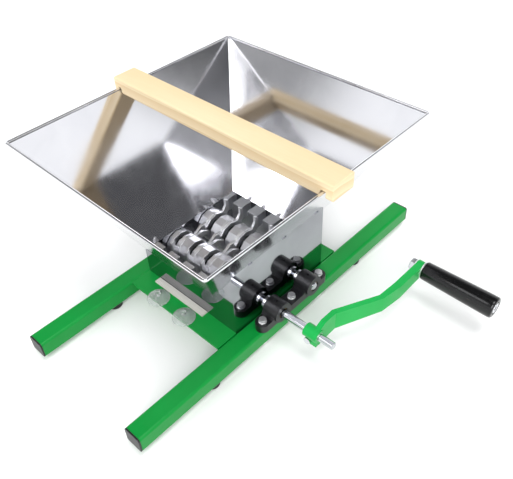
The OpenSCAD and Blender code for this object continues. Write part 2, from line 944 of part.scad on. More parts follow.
module driven_gear_pin() {
    color(bright) at_rear() gear_pin_at(gear_hub_r, gear_pin_d / 2);
}

module driven_collars() {
    color(bright) at_rear() collars(rear_screw_angle);
}

module driven_collar_screws() {
    color(black) at_rear() collar_screws(rear_screw_angle);
}

// Crank: split hub, arm with two bends and an eye for the grip's bolt. The arm seen from above,
// thicker towards the eye
module arm_outline() {
    side = arm_t / 2;
    mitre = side * tan(atan2(arm_step, bend_y2 - bend_y1) / 2);
    flare_y = grip_y - eye_r * eye_flare_share;
    polygon([
        [arm_x1 - side, -shaft_y - over], [arm_x1 + side, -shaft_y - over],
        [arm_x1 + side, bend_y1 - mitre], [arm_x2 + side, bend_y2 - mitre],
        [eye_out, flare_y], [eye_out, grip_y + over],
        [eye_in, grip_y + over], [eye_in, flare_y],
        [arm_x2 - side, bend_y2 + mitre], [arm_x1 - side, bend_y1 + mitre]]);
}

// The arm seen along the shaft: high beside the hub and lower towards the eye
module arm_profile() {
    low = hub_r * root_share;
    knee_y = root_reach - shaft_y;
    polygon([
        [-shaft_y, -low], [knee_y, -arm_root_h / 2], [grip_y, -arm_h / 2],
        [grip_y, arm_h / 2], [knee_y, arm_root_h / 2], [-shaft_y, low]]);
}

module crank_arm() {
    lug_mid = hub_in + hub_l / 2;
    color(green) in_frame() difference() {
        union() {
            translate([hub_in, -shaft_y, shaft_z]) along_x() cylinder(r = hub_r, h = hub_l);
            box_at([lug_mid - lug_l / 2, -shaft_y - lug_w / 2, shaft_z - lug_drop],
                [lug_mid + lug_l / 2, -shaft_y + lug_w / 2, shaft_z]);
            translate([0, 0, shaft_z]) intersection() {
                translate([0, 0, -arm_root_h]) linear_extrude(2 * arm_root_h) arm_outline();
                translate([hub_in, 0, 0]) along_x() linear_extrude(eye_out + over - hub_in) arm_profile();
            }
            translate([eye_in, grip_y, shaft_z]) along_x() cylinder(r = eye_r, h = eye_out - eye_in);
        }
        translate([hub_in - over, -shaft_y, shaft_z]) along_x()
            rod(shaft_d + 2 * fit_play, hub_l + 2 * over);
        box_at([hub_in - over, -shaft_y - lug_slit / 2, shaft_z - lug_drop - over],
            [hub_out + over, -shaft_y + lug_slit / 2, shaft_z]);
        clamp_rod(lug_w / 2 + over, lug_w / 2 + over, m6_d / 2 + hole_play);
        clamp_rod(-lug_w / 2, hub_r + over, clamp_face_r);
        clamp_rod(hub_r + over, -lug_w / 2, clamp_face_r);
        translate([eye_in - over, grip_y, shaft_z]) along_x()
            rod(m10_d + 2 * fit_play, eye_out - eye_in + 2 * over);
    }
}

// Rod along Y at the clamp bolt, reaching front and back from the slit's middle
module clamp_rod(back, front, r) {
    translate([hub_in + clamp_in, back - shaft_y, shaft_z - clamp_drop]) rotate([90, 0, 0])
        cylinder(r = r, h = back + front);
}

module clamp_bolt() {
    color(bright) in_frame() {
        clamp_rod(lug_w / 2 + m6_nut + m6_tail, lug_w / 2 + m6_head / 2, m6_d / 2);
        translate([hub_in + clamp_in, -shaft_y - lug_w / 2, shaft_z - clamp_drop])
            rotate([90, 0, 0]) hexagon(m6_af, m6_head);
    }
}

module clamp_nut() {
    color(bright) in_frame()
        translate([hub_in + clamp_in, lug_w / 2 + m6_nut - shaft_y, shaft_z - clamp_drop])
            rotate([90, 0, 0]) hex_nut(m6_d, m6_af, m6_nut);
}

// Places something on the grip's axis at x, with local z along it
module on_grip(x) {
    translate([x, grip_y, shaft_z]) along_x() children();
}

module grip_bolt() {
    head_x = grip_out - grip_socket_h + move_gap;
    color(bright) in_frame() {
        on_grip(eye_in - m10_washer_t - m10_nut - m6_tail)
            rod(m10_d, eye_out - eye_in + m10_washer_t + m10_nut + m6_tail);
        on_grip(eye_out) rod(shoulder_d, head_x - eye_out);
        difference() {
            on_grip(head_x) cylinder(r = grip_head_r, h = grip_head_h);
            on_grip(head_x + grip_head_h / 2) hexagon(grip_socket_af, grip_head_h);
        }
    }
}

module grip_washers() {
    color(bright) in_frame() {
        on_grip(eye_out) difference() {
            cylinder(r = grip_washer_r, h = m10_washer_t);
            translate([0, 0, -over]) rod(shoulder_d + 2 * fit_play, m10_washer_t + 2 * over);
        }
        on_grip(eye_in - m10_washer_t) difference() {
            cylinder(r = eye_r, h = m10_washer_t);
            translate([0, 0, -over]) rod(m10_d + 2 * fit_play, m10_washer_t + 2 * over);
        }
    }
}

module grip_nut() {
    color(bright) in_frame() on_grip(eye_in - m10_washer_t - m10_nut) hex_nut(m10_d, m10_af, m10_nut);
}

// Grip: a tapered turned handle, rounded at both ends, that turns on its bolt
module crank_grip() {
    color(black) in_frame() difference() {
        on_grip(grip_in) rotate_extrude() difference() {
            union() {
                polygon([[0, 0], [grip_r1 - grip_round, 0], [grip_r1, grip_round],
                    [grip_r2, grip_l - grip_round], [grip_r2 - grip_round, grip_l], [0, grip_l]]);
                intersection() {
                    translate([grip_r2 - grip_round, grip_l - grip_round]) circle(grip_round);
                    square([grip_r2, grip_l]);
                }
            }
            translate([0, -over]) square([shoulder_d / 2 + run_play, grip_l + 2 * over]);
            translate([0, grip_l - grip_socket_h]) square([grip_socket_r, grip_socket_h + over]);
        }
    }
}

// Crossbar: planed wood along X, notched below so that it drops over the rim
module bar_notch(rim, flare) {
    low = rim_z - bar_sink;
    lean = bar_sink * flare / hopper_h + hopper_t * norm([flare, hopper_h]) / hopper_h;
    translate([0, bar_w / 2 + over, 0]) rotate([90, 0, 0]) linear_extrude(bar_w + 2 * over) polygon([
        [rim + notch_play, low - over], [rim + notch_play, rim_z + seat_gap],
        [rim - 2 * rim_r - notch_play, rim_z + seat_gap],
        [rim - lean - notch_play, low], [rim - lean - notch_play, low - over]]);
}

module wooden_crossbar() {
    color(wood) in_frame() difference() {
        translate([low_x, 0, rim_z - bar_sink + bar_t / 2]) along_x()
            linear_extrude(bar_len) rounded_rect(bar_w, bar_t, bar_edge_r);
        bar_notch(rim_right, flare_right);
        mirror([1, 0, 0]) bar_notch(rim_left, flare_left);
    }
}

// Clear strip: a flat moulding with ribs along it, lying on the front plate
module clear_strip() {
    step = strip_w / strip_ribs;
    color(clear) in_frame()
        translate([strip_mid - strip_len / 2, -box_y - strip_gap - strip_w / 2, rail_h]) along_x()
            linear_extrude(strip_len) {
                translate([-strip_w / 2, 0]) square([strip_w, strip_base]);
                for (i = [0 : strip_ribs - 1]) translate([(i + 0.5) * step - strip_w / 2, strip_base])
                    intersection() {
                        circle(d = step);
                        translate([-step, -strip_base / 2]) square([2 * step, step]);
                    }
            }
}

// Suction cup: a thin bell with a knob on top, lying open side down on the front plate
module suction_cup() {
    rotate_extrude() {
        difference() {
            intersection() {
                translate([0, cup_h - cup_curve_r]) circle(cup_curve_r);
                square([cup_r, cup_h]);
            }
            translate([0, cup_h - cup_curve_r - cup_t]) circle(cup_curve_r);
        }
        translate([0, cup_h - cup_t]) square([cup_knob_r * knob_neck_share, cup_knob_h]);
        translate([0, cup_h - cup_t + cup_knob_h / 2]) square([cup_knob_r, cup_knob_h / 2]);
    }
}

module clear_suction_cups() {
    color(clear) in_frame() for (x = cup_places)
        translate([x, -box_y - strip_gap - strip_w - strip_gap - cup_r, rail_h]) suction_cup();
}

left_rail();
right_rail();
front_cross_plate();
rear_cross_plate();
rail_end_caps();
rubber_feet();
foot_screws();
box_front_wall();
box_rear_wall();
box_left_wall();
box_right_wall();
throat_partition();
box_screws();
hopper_front_panel();
hopper_rear_panel();
hopper_left_panel();
hopper_right_panel();
hopper_rim();
front_comb();
rear_comb();
comb_screws();
left_bearing_block();
right_bearing_block();
bearing_bushes();
block_bolts();
block_washers();
block_nuts();
drive_shaft();
drive_rings();
drive_spacers();
drive_blades();
drive_gear();
drive_gear_pin();
drive_collars();
drive_collar_screws();
driven_shaft();
driven_rings();
driven_spacers();
driven_blades();
driven_gear();
driven_gear_pin();
driven_collars();
driven_collar_screws();
crank_arm();
clamp_bolt();
clamp_nut();
grip_bolt();
grip_washers();
grip_nut();
crank_grip();
wooden_crossbar();
clear_strip();
clear_suction_cups();
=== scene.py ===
import json
import math

import bmesh
import bpy
from mathutils import Matrix, Vector


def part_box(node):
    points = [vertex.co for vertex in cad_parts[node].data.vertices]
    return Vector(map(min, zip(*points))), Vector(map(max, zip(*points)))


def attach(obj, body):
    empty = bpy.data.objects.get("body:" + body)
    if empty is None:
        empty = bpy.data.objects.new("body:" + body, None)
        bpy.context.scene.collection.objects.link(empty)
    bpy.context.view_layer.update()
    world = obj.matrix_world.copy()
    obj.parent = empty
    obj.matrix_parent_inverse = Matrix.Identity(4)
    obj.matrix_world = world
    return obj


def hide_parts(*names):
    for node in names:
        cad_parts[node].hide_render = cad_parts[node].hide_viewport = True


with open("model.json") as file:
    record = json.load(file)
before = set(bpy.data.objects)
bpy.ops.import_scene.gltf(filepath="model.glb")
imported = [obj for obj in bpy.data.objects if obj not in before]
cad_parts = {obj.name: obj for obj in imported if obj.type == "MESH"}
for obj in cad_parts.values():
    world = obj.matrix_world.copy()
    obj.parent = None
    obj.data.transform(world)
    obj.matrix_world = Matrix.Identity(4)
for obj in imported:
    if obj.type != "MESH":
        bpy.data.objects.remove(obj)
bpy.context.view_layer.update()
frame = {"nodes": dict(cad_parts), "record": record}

# Rails
# Two rectangular steel tubes carry the machine. They are cut to length, welded into the frame
# and powder coated in a saturated emerald green.
MM = 0.001


def linear(code):
    """An sRGB hex colour as the linear values that a shader takes."""
    parts = [int(code[i:i + 2], 16) / 255 for i in (1, 3, 5)]
    return [c / 12.92 if c <= 0.04045 else ((c + 0.055) / 1.055) ** 2.4 for c in parts] + [1.0]


def add(tree, kind, links=None, **settings):
    """Adds one node with its settings; links maps an input to a value or to another node's output.

    A Mix node's sockets go by number. Input 0 is the factor. Colours are inputs 6 and 7 and
    output 2; plain numbers are inputs 2 and 3 and output 0.
    """
    node = tree.nodes.new("ShaderNode" + kind)
    for name, value in settings.items():
        setattr(node, name, value)
    for name, value in (links or {}).items():
        if isinstance(value, bpy.types.NodeSocket):
            tree.links.new(value, node.inputs[name])
        else:
            node.inputs[name].default_value = value
    return node


def finish_of(name, **sockets):
    """A new material: its shader, with the sockets given, and its Object coordinates."""
    material = bpy.data.materials.new(name)
    material.use_nodes = True
    tree = material.node_tree
    tree.nodes.clear()
    shader = add(tree, "BsdfPrincipled", sockets)
    add(tree, "OutputMaterial", {"Surface": shader.outputs[0]})
    return material, tree, shader.inputs, add(tree, "TexCoord").outputs["Object"]


def joined(material, shader, colour, gloss, skin):
    """The material, once its colour, roughness and bump are joined to its shader."""
    for socket, source in (("Base Color", colour), ("Roughness", gloss), ("Normal", skin)):
        material.node_tree.links.new(source, shader[socket])
    return material


def powder_coat(name, low, high):
    """Baked polyester powder: a thick even skin with faint orange peel and a soft gloss."""
    # The real peel is about 1 mm across; it is drawn at 2 mm so that it shows.
    cloud_mm, patch_mm, peel_mm, peel_deep_mm = 60, 25, 2, 0.03
    material, tree, shader, place = finish_of(name, **{"Specular IOR Level": 0.22,
                                                       "Coat Weight": 0.05})
    cloud = add(tree, "TexNoise", {"Vector": place, "Scale": 1 / (cloud_mm * MM),
                                   "Detail": 2.0}).outputs["Fac"]
    tint = add(tree, "Mix", {0: cloud, 6: linear(low), 7: linear(high)},
               data_type="RGBA").outputs[2]
    patch = add(tree, "TexNoise", {"Vector": place, "Scale": 1 / (patch_mm * MM)}).outputs["Fac"]
    gloss = add(tree, "MapRange", {"Value": patch, "To Min": 0.28, "To Max": 0.44}).outputs[0]
    peel = add(tree, "TexNoise", {"Vector": place, "Scale": 1 / (peel_mm * MM),
                                  "Detail": 1.0}).outputs["Fac"]
    skin = add(tree, "Bump", {"Height": peel, "Distance": peel_deep_mm * MM,
                              "Strength": 0.4}).outputs[0]
    return joined(material, shader, tint, gloss, skin)


def set_finish(piece, material):
    """Gives a piece, or a CAD node that is kept as it is, its one material."""
    piece.data.materials.clear()
    piece.data.materials.append(material)


emerald = powder_coat("emerald_powder_coat", "#028030", "#059039")
for node in ("left_rail", "right_rail"):
    set_finish(frame["nodes"][node], emerald)

# Rail end caps
# Ribbed polyethylene plugs are tapped into the four tube ends. Only their flat flanges show,
# with a softened edge and the fine grain of the mould.
bodies = frame["record"]["behaviour"]["bodies"]
bodies_of = {node: body for body, nodes in bodies.items() for node in nodes}


def mesh_piece(name, bm, material, node=None, body=None, smooth_deg=50):
    """Makes a piece of a finished bmesh; it replaces a CAD node, or rides on the body named."""
    mesh = bpy.data.meshes.new(name)
    bm.to_mesh(mesh)
    bm.free()
    piece = bpy.data.objects.new(name, mesh)
    bpy.context.scene.collection.objects.link(piece)
    mesh.polygons.foreach_set("use_smooth", [True] * len(mesh.polygons))
    mesh.set_sharp_from_angle(angle=math.radians(smooth_deg))
    # Flat faces keep their own normals, so that only the eased edges look round.
    piece.modifiers.new("face_weighted_normals", "WEIGHTED_NORMAL").keep_sharp = True
    set_finish(piece, material)
    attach(piece, body or bodies_of[node])
    if node:
        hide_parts(node)


def eased(node, material, width_mm, segments=2, least_deg=40, corners=None, corner_mm=0):
    """Replaces a CAD node by a merged copy, its edges eased as deburring or coating leaves them.

    corners picks the end of a hexagon head or nut; its six outer corners are chamfered first.
    """
    merge_mm, sliver_mm, flat_deg = 0.004, 0.002, 0.5
    cut = {"profile": 0.5, "clamp_overlap": True, "material": -1}

    def is_sharp(edge):
        return len(edge.link_faces) == 2 and edge.calc_face_angle(0) > math.radians(least_deg)

    bm = bmesh.new()
    bm.from_mesh(frame["nodes"][node].data)
    bmesh.ops.remove_doubles(bm, verts=bm.verts, dist=merge_mm * MM)
    bmesh.ops.dissolve_degenerate(bm, edges=bm.edges, dist=sliver_mm * MM)
    bmesh.ops.dissolve_limit(bm, angle_limit=math.radians(flat_deg), verts=bm.verts,
                             edges=bm.edges)
    if corners:
        # Three sharp edges meet at an outer corner, but only two at a point of the bore.
        picked = [v for v in bm.verts if corners(v) and sum(map(is_sharp, v.link_edges)) >= 3]
        bmesh.ops.bevel(bm, geom=picked, offset=corner_mm * MM, segments=1, affect="VERTICES",
                        **cut)
    edges = [e for e in bm.edges if is_sharp(e)]
    bmesh.ops.bevel(bm, geom=edges, offset=width_mm * MM, segments=segments, affect="EDGES",
                    **cut)
    mesh_piece(node + "_eased", bm, material, node)


def moulded_black(name, low, high, roughness, grain_mm, depth_mm, **sockets):
    """Black moulded or machined polymer: nearly even colour, with a fine surface grain."""
    cloud_mm, patch_mm, glossier, duller = 18, 9, 0.07, 0.08
    material, tree, shader, place = finish_of(name, **sockets)
    cloud = add(tree, "TexNoise", {"Vector": place, "Scale": 1 / (cloud_mm * MM)}).outputs["Fac"]
    tint = add(tree, "Mix", {0: cloud, 6: linear(low), 7: linear(high)},
               data_type="RGBA").outputs[2]
    patch = add(tree, "TexNoise", {"Vector": place, "Scale": 1 / (patch_mm * MM)}).outputs["Fac"]
    gloss = add(tree, "MapRange", {"Value": patch, "To Min": roughness - glossier,
                                   "To Max": roughness + duller}).outputs[0]
    grain = add(tree, "TexNoise", {"Vector": place, "Scale": 1 / (grain_mm * MM)}).outputs["Fac"]
    skin = add(tree, "Bump", {"Height": grain, "Distance": depth_mm * MM,
                              "Strength": 0.5}).outputs[0]
    return joined(material, shader, tint, gloss, skin)


cap_polyethylene = moulded_black("moulded_polyethylene", "#0d0d0f", "#1c1c1f", roughness=0.42,
                                 grain_mm=0.9, depth_mm=0.04)
eased("rail_end_caps", cap_polyethylene, width_mm=0.8, segments=3)

# Rubber feet
# Four black rubber buffers stand under the rails, each drawn up by a screw in its recess.
# Rubber is dull and slightly dusty.
foot_rubber = moulded_black("moulded_rubber", "#101011", "#1f1f21", roughness=0.72,
                            grain_mm=0.6, depth_mm=0.03)
eased("rubber_feet", foot_rubber, width_mm=1.0, segments=3)

# Foot, box and comb screws
# Socket screws with low heads hold the feet, the box's folded edges and the combs. Their zinc
# plating is nearly white, bright and faintly cloudy.


def bright_metal(name, low, high, roughness, along=(1, 1, 1), grain_mm=0.8, depth_mm=0.004,
                 vary=0.06):
    """Bare or plated metal with fine tool lines, which run where along has its smallest number."""
    cloud_mm = 14
    material, tree, shader, place = finish_of(name, Metallic=1.0)
    drawn = add(tree, "Mapping", {"Vector": place, "Scale": along}).outputs[0]
    lines = add(tree, "TexNoise", {"Vector": drawn, "Scale": 1 / (grain_mm * MM), "Detail": 4.0,
                                   "Roughness": 0.6}).outputs["Fac"]
    cloud = add(tree, "TexNoise", {"Vector": place, "Scale": 1 / (cloud_mm * MM)}).outputs["Fac"]
    tint = add(tree, "Mix", {0: cloud, 6: linear(low), 7: linear(high)},
               data_type="RGBA").outputs[2]
    gloss = add(tree, "MapRange", {"Value": lines, "To Min": roughness - vary,
                                   "To Max": roughness + vary}).outputs[0]
    skin = add(tree, "Bump", {"Height": lines, "Distance": depth_mm * MM,
                              "Strength": 0.5}).outputs[0]
    return joined(material, shader, tint, gloss, skin)


zinc = bright_metal("bright_zinc_plating", "#eceded", "#fafafa", roughness=0.36)
for node in ("foot_screws", "box_screws", "comb_screws"):
    eased(node, zinc, width_mm=0.25)

# Cross plates
# Two green sheet plates join the rails level with their tops and fold down along the box.
# The coat rounds their cut edges and folds.
for node in ("front_cross_plate", "rear_cross_plate"):
    eased(node, emerald, width_mm=0.7, segments=3)

# Box
# Four walls of bright-annealed stainless sheet and the partition of the gear bay. The flat walls
# are nearly mirrors and show the green plates and the black blocks beside them. Their sheet is
# drawn much darker than the same sheet on the hopper, as painted shade on the upright walls.


def bright_sheet(name, low, high, along, roughness, vary, wave_mm):
    """Bright-annealed stainless: fine rolling lines blur the reflections, and smears dull them."""
    # Real rolling lines are some 0.05 mm wide; they are drawn at 0.7 mm so that they show.
    line_mm, line_deep_mm, smear_mm, swell_mm = 0.7, 0.002, 50, 90
    line_vary = vary / 8
    material, tree, shader, place = finish_of(name, Metallic=1.0)
    drawn = add(tree, "Mapping", {"Vector": place, "Scale": along}).outputs[0]
    lines = add(tree, "TexNoise", {"Vector": drawn, "Scale": 1 / (line_mm * MM), "Detail": 4.0,
                                   "Roughness": 0.65}).outputs["Fac"]
    smears = add(tree, "TexNoise", {"Vector": place, "Scale": 1 / (smear_mm * MM), "Detail": 3.0,
                                    "Distortion": 0.4}).outputs["Fac"]
    tint = add(tree, "Mix", {0: smears, 6: linear(low), 7: linear(high)},
               data_type="RGBA").outputs[2]
    dull = add(tree, "MapRange", {"Value": smears, "From Min": 0.3, "From Max": 0.7,
                                  "To Min": roughness - vary,
                                  "To Max": roughness + vary}).outputs[0]
    scratch = add(tree, "MapRange", {"Value": lines, "To Min": -line_vary,
                                     "To Max": line_vary}).outputs[0]
    gloss = add(tree, "Math", {0: dull, 1: scratch}, operation="ADD").outputs[0]
    swell = add(tree, "TexNoise", {"Vector": place, "Scale": 1 / (swell_mm * MM),
                                   "Detail": 0.0}).outputs["Fac"]
    wave = add(tree, "Bump", {"Height": swell, "Distance": wave_mm * MM,
                              "Strength": 0.25}).outputs[0]
    skin = add(tree, "Bump", {"Height": lines, "Distance": line_deep_mm * MM, "Strength": 0.1,
                              "Normal": wave}).outputs[0]
    return joined(material, shader, tint, gloss, skin)


# The walls' copy of the sheet is darkened: its greys are painted shade.
wall_sheet_painted_shade = bright_sheet("bright_annealed_wall_painted_shade", "#9b9ca2", "#b4b5ba", along=(1, 1, 0.03),
                          roughness=0.06, vary=0.02, wave_mm=0.01)
for node in ("box_front_wall", "box_rear_wall", "box_left_wall", "box_right_wall",
             "throat_partition"):
    eased(node, wall_sheet_painted_shade, width_mm=0.3)

# Hopper panels
# Four flat trapezoids of bright-annealed sheet are bent and welded into a funnel. The rolling
# lines run up the slopes, so reflections of the crossbar are drawn out along them.
slope_sheet = bright_sheet("bright_annealed_slope", "#d6d6da", "#e8e8eb", along=(1, 1, 0.04),
                           roughness=0.1, vary=0.025, wave_mm=0.03)
for node in ("hopper_front_panel", "hopper_rear_panel", "hopper_left_panel",
             "hopper_right_panel"):
    eased(node, slope_sheet, width_mm=0.25)

# Hopper corner welds
# A thin bead of weld, ground and polished, closes each inside corner of the funnel from the
# throat to the rim.
rim_low, rim_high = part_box("hopper_rim")
rim_r = (rim_high.z - rim_low.z) / 2
throat_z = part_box("throat_partition")[1].z
throat_left, throat_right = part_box("box_left_wall")[0].x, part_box("throat_partition")[1].x
throat_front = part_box("box_front_wall")[0].y
# The bead is set in from the corner, and ends a little short of the rim.
weld_r, weld_in, weld_share, weld_sides = 0.9 * MM, 1.1 * MM, 0.975, 10
bm = bmesh.new()
for x_low, x_high, side in ((throat_left, rim_low.x, 1), (throat_right, rim_high.x, -1)):
    for y_low, y_high in ((throat_front, rim_low.y), (-throat_front, rim_high.y)):
        inward = Vector((side, -math.copysign(1, y_low), 0)) * weld_in
        foot = Vector((x_low, y_low, throat_z)) + inward
        head = foot.lerp(Vector((x_high, y_high, rim_high.z)) + inward, weld_share)
        turned = (head - foot).to_track_quat("Z", "Y").to_matrix().to_4x4()
        placed = Matrix.Translation((foot + head) / 2) @ turned
        bmesh.ops.create_cone(bm, cap_ends=True, segments=weld_sides, radius1=weld_r,
                              radius2=weld_r, depth=(head - foot).length, matrix=placed)
mesh_piece("hopper_corner_welds", bm, slope_sheet, body="frame")

# Hopper rim
# The sheets' upper edges are rolled over a wire all round, so the rim is a bright bead that
# turns the corners in a tight radius.
rim_roll = bright_metal("rolled_stainless_rim", "#dcdce0", "#f0f0f2", roughness=0.14,
                        grain_mm=1.5)
rim_sides, corner_r, corner_steps, seam_mm = 16, 2.4 * MM, 6, 0.05
left_x, right_x = rim_low.x + rim_r + corner_r, rim_high.x - rim_r - corner_r
near_y, far_y = rim_low.y + rim_r + corner_r, rim_high.y - rim_r - corner_r
mid_z = rim_low.z + rim_r
# From the middle of the left side: each straight run, and the centre of the corner after it.
runs = (((0, far_y, 0), (left_x, far_y, mid_z)),
        ((right_x - left_x, 0, 0), (right_x, far_y, mid_z)),
        ((0, near_y - far_y, 0), (right_x, near_y, mid_z)),
        ((left_x - right_x, 0, 0), (left_x, near_y, mid_z)),
        ((0, -near_y, 0), None))
bm = bmesh.new()
start = bmesh.ops.create_circle(bm, segments=rim_sides, radius=rim_r, matrix=Matrix.Translation(
    (rim_low.x + rim_r, 0, mid_z)) @ Matrix.Rotation(math.radians(90), 4, "X"))["verts"]
ring = list({e for v in start for e in v.link_edges})
for run, centre in runs:
    made = bmesh.ops.extrude_edge_only(bm, edges=ring)["geom"]
    ends = {g for g in made if isinstance(g, bmesh.types.BMVert)}
    bmesh.ops.translate(bm, verts=list(ends), vec=run)
    ring = [g for g in made if isinstance(g, bmesh.types.BMEdge) and set(g.verts) <= ends]
    if centre:
        made = bmesh.ops.spin(bm, geom=ring, cent=centre, axis=(0, 0, 1),
                              angle=math.radians(-90), steps=corner_steps)["geom_last"]
        ring = [g for g in made if isinstance(g, bmesh.types.BMEdge)]
bmesh.ops.remove_doubles(bm, verts=bm.verts, dist=seam_mm * MM)
bmesh.ops.recalc_face_normals(bm, faces=bm.faces)
mesh_piece("hopper_rolled_rim", bm, rim_roll, "hopper_rim")

# Combs
# Two cast aluminium combs are screwed inside the end walls, and the hooks pass between their
# teeth. Their tops are milled flat, with fine cutter marks.
comb_cast = bright_metal("milled_cast_aluminium", "#c2c4c8", "#d8d9dc", roughness=0.42,
                         along=(6, 1, 1), grain_mm=2.5, depth_mm=0.01, vary=0.08)
for node in ("front_comb", "rear_comb"):
    eased(node, comb_cast, width_mm=0.5)

# Bearing blocks
# One black nylon block on each rail carries both shafts in round bosses. The blocks are machined
# from cast nylon, and their edges are lightly broken.
block_nylon = moulded_black("machined_black_nylon", "#0b0b0d", "#19191c", roughness=0.36,
                            grain_mm=0.8, depth_mm=0.03)
for node in ("left_bearing_block", "right_bearing_block"):
    eased(node, block_nylon, width_mm=0.9, segments=3, least_deg=35)

# Bearing bushes
# Turned bronze bushes are pressed into the bosses and set back from their faces. Their
# bronze is drawn dark, as painted shade of the recess they sit in.
bush_bronze_painted_shade = bright_metal("bearing_bronze_painted_shade", "#6b5531", "#846a3d", roughness=0.34)
set_finish(frame["nodes"]["bearing_bushes"], bush_bronze_painted_shade)

# Block bolts, washers and nuts
# M6 hexagon bolts go down through the block, its washer and the rail to a nut below. Their
# forged heads have chamfered corners and bright zinc plating.
head_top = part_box("block_bolts")[1].z
nut_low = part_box("block_nuts")[0].z
# A corner that lies within this distance of a head's or nut's end is on its end face.
hair = 0.01 * MM
eased("block_bolts", zinc, width_mm=0.35, corners=lambda v: v.co.z > head_top - hair,
      corner_mm=1.3)
eased("block_washers", zinc, width_mm=0.3)
eased("block_nuts", zinc, width_mm=0.3, corners=lambda v: v.co.z < nut_low + hair,
      corner_mm=0.9)

# Shafts
# Two 12 mm bright steel shafts, centreless ground, with fine lines round them. They are
# hexagonal inside the rollers, and the front one carries the crank.
ground_steel = bright_metal("ground_steel_shaft", "#b9bbc0", "#d2d4d8", roughness=0.07,
                            along=(9, 1, 1), grain_mm=2.0, depth_mm=0.002, vary=0.03)
for node in ("drive_shaft", "driven_shaft"):
    set_finish(frame["nodes"][node], ground_steel)

# Rollers
# Each roller is a stack of milled twelve-sided stainless rings, hooked blades and round dark
# spacers. The facets carry cutter marks along the roller, and the blades are drawn a little
# lighter than the rings.
ring_steel = bright_metal("milled_stainless_ring", "#d2d3d7", "#e6e6ea", roughness=0.4,
                          along=(1, 7, 7), grain_mm=2.2, depth_mm=0.008)
blade_steel = bright_metal("cut_stainless_blade", "#dedfe2", "#f0f0f2", roughness=0.4,
                           along=(1, 5, 1), grain_mm=1.8, depth_mm=0.006)
spacer_steel = bright_metal("turned_dark_spacer", "#242527", "#38393c", roughness=0.42,
                            along=(8, 1, 1), grain_mm=2.0, depth_mm=0.01)
for roller in ("drive", "driven"):
    eased(roller + "_rings", ring_steel, width_mm=0.5, least_deg=20)
    eased(roller + "_blades", blade_steel, width_mm=0.5)
    set_finish(frame["nodes"][roller + "_spacers"], spacer_steel)

# Gears
# A pair of hobbed steel spur gears behind the partition, cross-pinned to the shafts. Their
# steel is drawn dark all over.
gear_hobbed = bright_metal("hobbed_steel_gear", "#66686c", "#8b8d91", roughness=0.38,
                           along=(1, 4, 4), grain_mm=1.5, depth_mm=0.01, vary=0.08)
for roller in ("drive", "driven"):
    set_finish(frame["nodes"][roller + "_gear"], gear_hobbed)
    set_finish(frame["nodes"][roller + "_gear_pin"], zinc)

# Collars
# Turned and polished collars beside the blocks keep the shafts from moving endways, each
# locked by a blackened set screw.
polished_zinc = bright_metal("polished_zinc_plating", "#c6c8cc", "#e2e3e7", roughness=0.14)
black_oxide = bright_metal("black_oxide_steel", "#18181a", "#26262a", roughness=0.4)
for roller in ("drive", "driven"):
    eased(roller + "_collars", polished_zinc, width_mm=0.5, segments=3)
    set_finish(frame["nodes"][roller + "_collar_screws"], black_oxide)

# Crank arm
# A steel bar with two bends, deepest beside the hub, is welded to a split hub and ends in an
# eye. It is powder coated in a lighter green than the rails, and the coat rounds every edge.
arm_coat = powder_coat("emerald_powder_coat_arm", "#0c9a42", "#14a94c")
eased("crank_arm", arm_coat, width_mm=1.0, segments=3, least_deg=22)

# Clamp bolt and nut
# An M6 bolt through the lug below the hub closes the slit and clamps the arm on the shaft.
# Both are zinc plated, and the bolt is polished like the collars.
bolt_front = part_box("clamp_bolt")[0].y
nut_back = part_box("clamp_nut")[1].y
eased("clamp_bolt", polished_zinc, width_mm=0.35, corners=lambda v: v.co.y < bolt_front + hair,
      corner_mm=1.3)
eased("clamp_nut", zinc, width_mm=0.3, corners=lambda v: v.co.y > nut_back - hair,
      corner_mm=0.9)

# Grip fasteners
# A shoulder bolt through the grip is held by an M10 nut on the arm's inner side, with plain
# washers on both sides of the eye.
nut_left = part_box("grip_nut")[0].x
eased("grip_bolt", polished_zinc, width_mm=0.5, segments=3)
eased("grip_washers", zinc, width_mm=0.3)
eased("grip_nut", polished_zinc, width_mm=0.3, corners=lambda v: v.co.x < nut_left + hair,
      corner_mm=1.6)

# Grip
# A turned and polished black phenolic handle, tapered towards the arm and rounded at its end,
# which turns freely on the shoulder bolt. Its skin is glossy and hardly uneven.
grip_phenolic = moulded_black("polished_black_phenolic", "#040405", "#0a0a0b", roughness=0.2,
                              grain_mm=1.2, depth_mm=0.005,
                              **{"Specular IOR Level": 0.4, "Coat Weight": 0.1,
                                 "Coat Roughness": 0.06})
grip_low, grip_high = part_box("crank_grip")
grip_y, grip_z = (grip_low.y + grip_high.y) / 2, (grip_low.z + grip_high.z) / 2
grip_len, end_r = grip_high.x - grip_low.x, (grip_high.y - grip_low.y) / 2
small_r, bore_r, socket_r, socket_deep = 13.7 * MM, 6.06 * MM, 9.5 * MM, 8 * MM
# How much of the taper is reached at a middle point, and where along the length that point and
# the full width lie.
swell_share, middle, full = 0.62, 0.55, 0.9
grip_steps, seam_mm = 72, 0.02
bm = bmesh.new()
